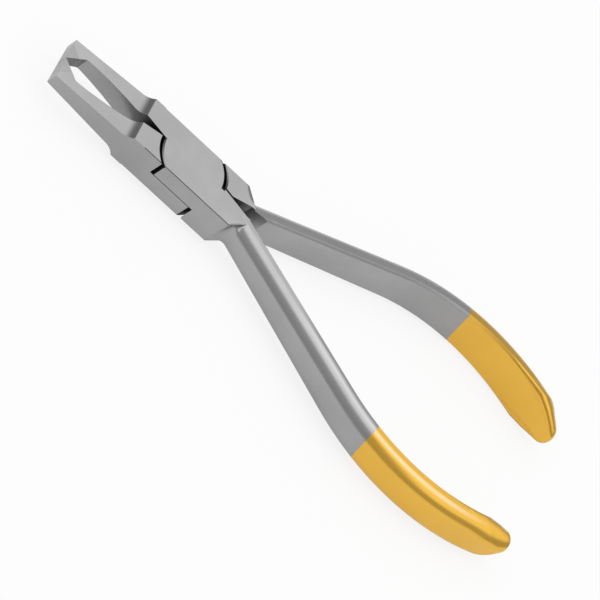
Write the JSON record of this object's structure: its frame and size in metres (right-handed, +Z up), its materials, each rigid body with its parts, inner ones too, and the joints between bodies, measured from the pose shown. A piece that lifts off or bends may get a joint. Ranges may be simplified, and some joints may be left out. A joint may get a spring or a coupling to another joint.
{
  "type": "orthodontic pliers",
  "caption": "Hand pliers with pincer jaws that meet at hard tips, a flush lap joint on a pivot screw and bowed handles with gold-plated ends.",
  "frame": {"origin": "on the pivot axis, in the plane of the joint's flat lower face", "axes": "+X from the pivot along the handles, so the tips point to -X; +Z up along the pivot axis; +Y towards the rear half's handle"},
  "size_m": [0.1342, 0.0512, 0.011],
  "materials": {
    "steel": "satin",
    "screw_steel": "satin",
    "carbide": "ground",
    "gold": "satin plating"
  },
  "bodies": {
    "rear": {"rear_half": "steel", "rear_insert": "carbide", "rear_plating": "gold"},
    "front": {"front_half": "steel", "front_insert": "carbide", "front_plating": "gold", "pivot_screw": "screw_steel"}
  },
  "joints": [
    {"name": "pivot", "type": "hinge", "parent": "rear", "child": "front", "pos_m": [0, 0, 0], "axis": [0, 0, -1], "range_deg": [0, 25]}
  ]
}
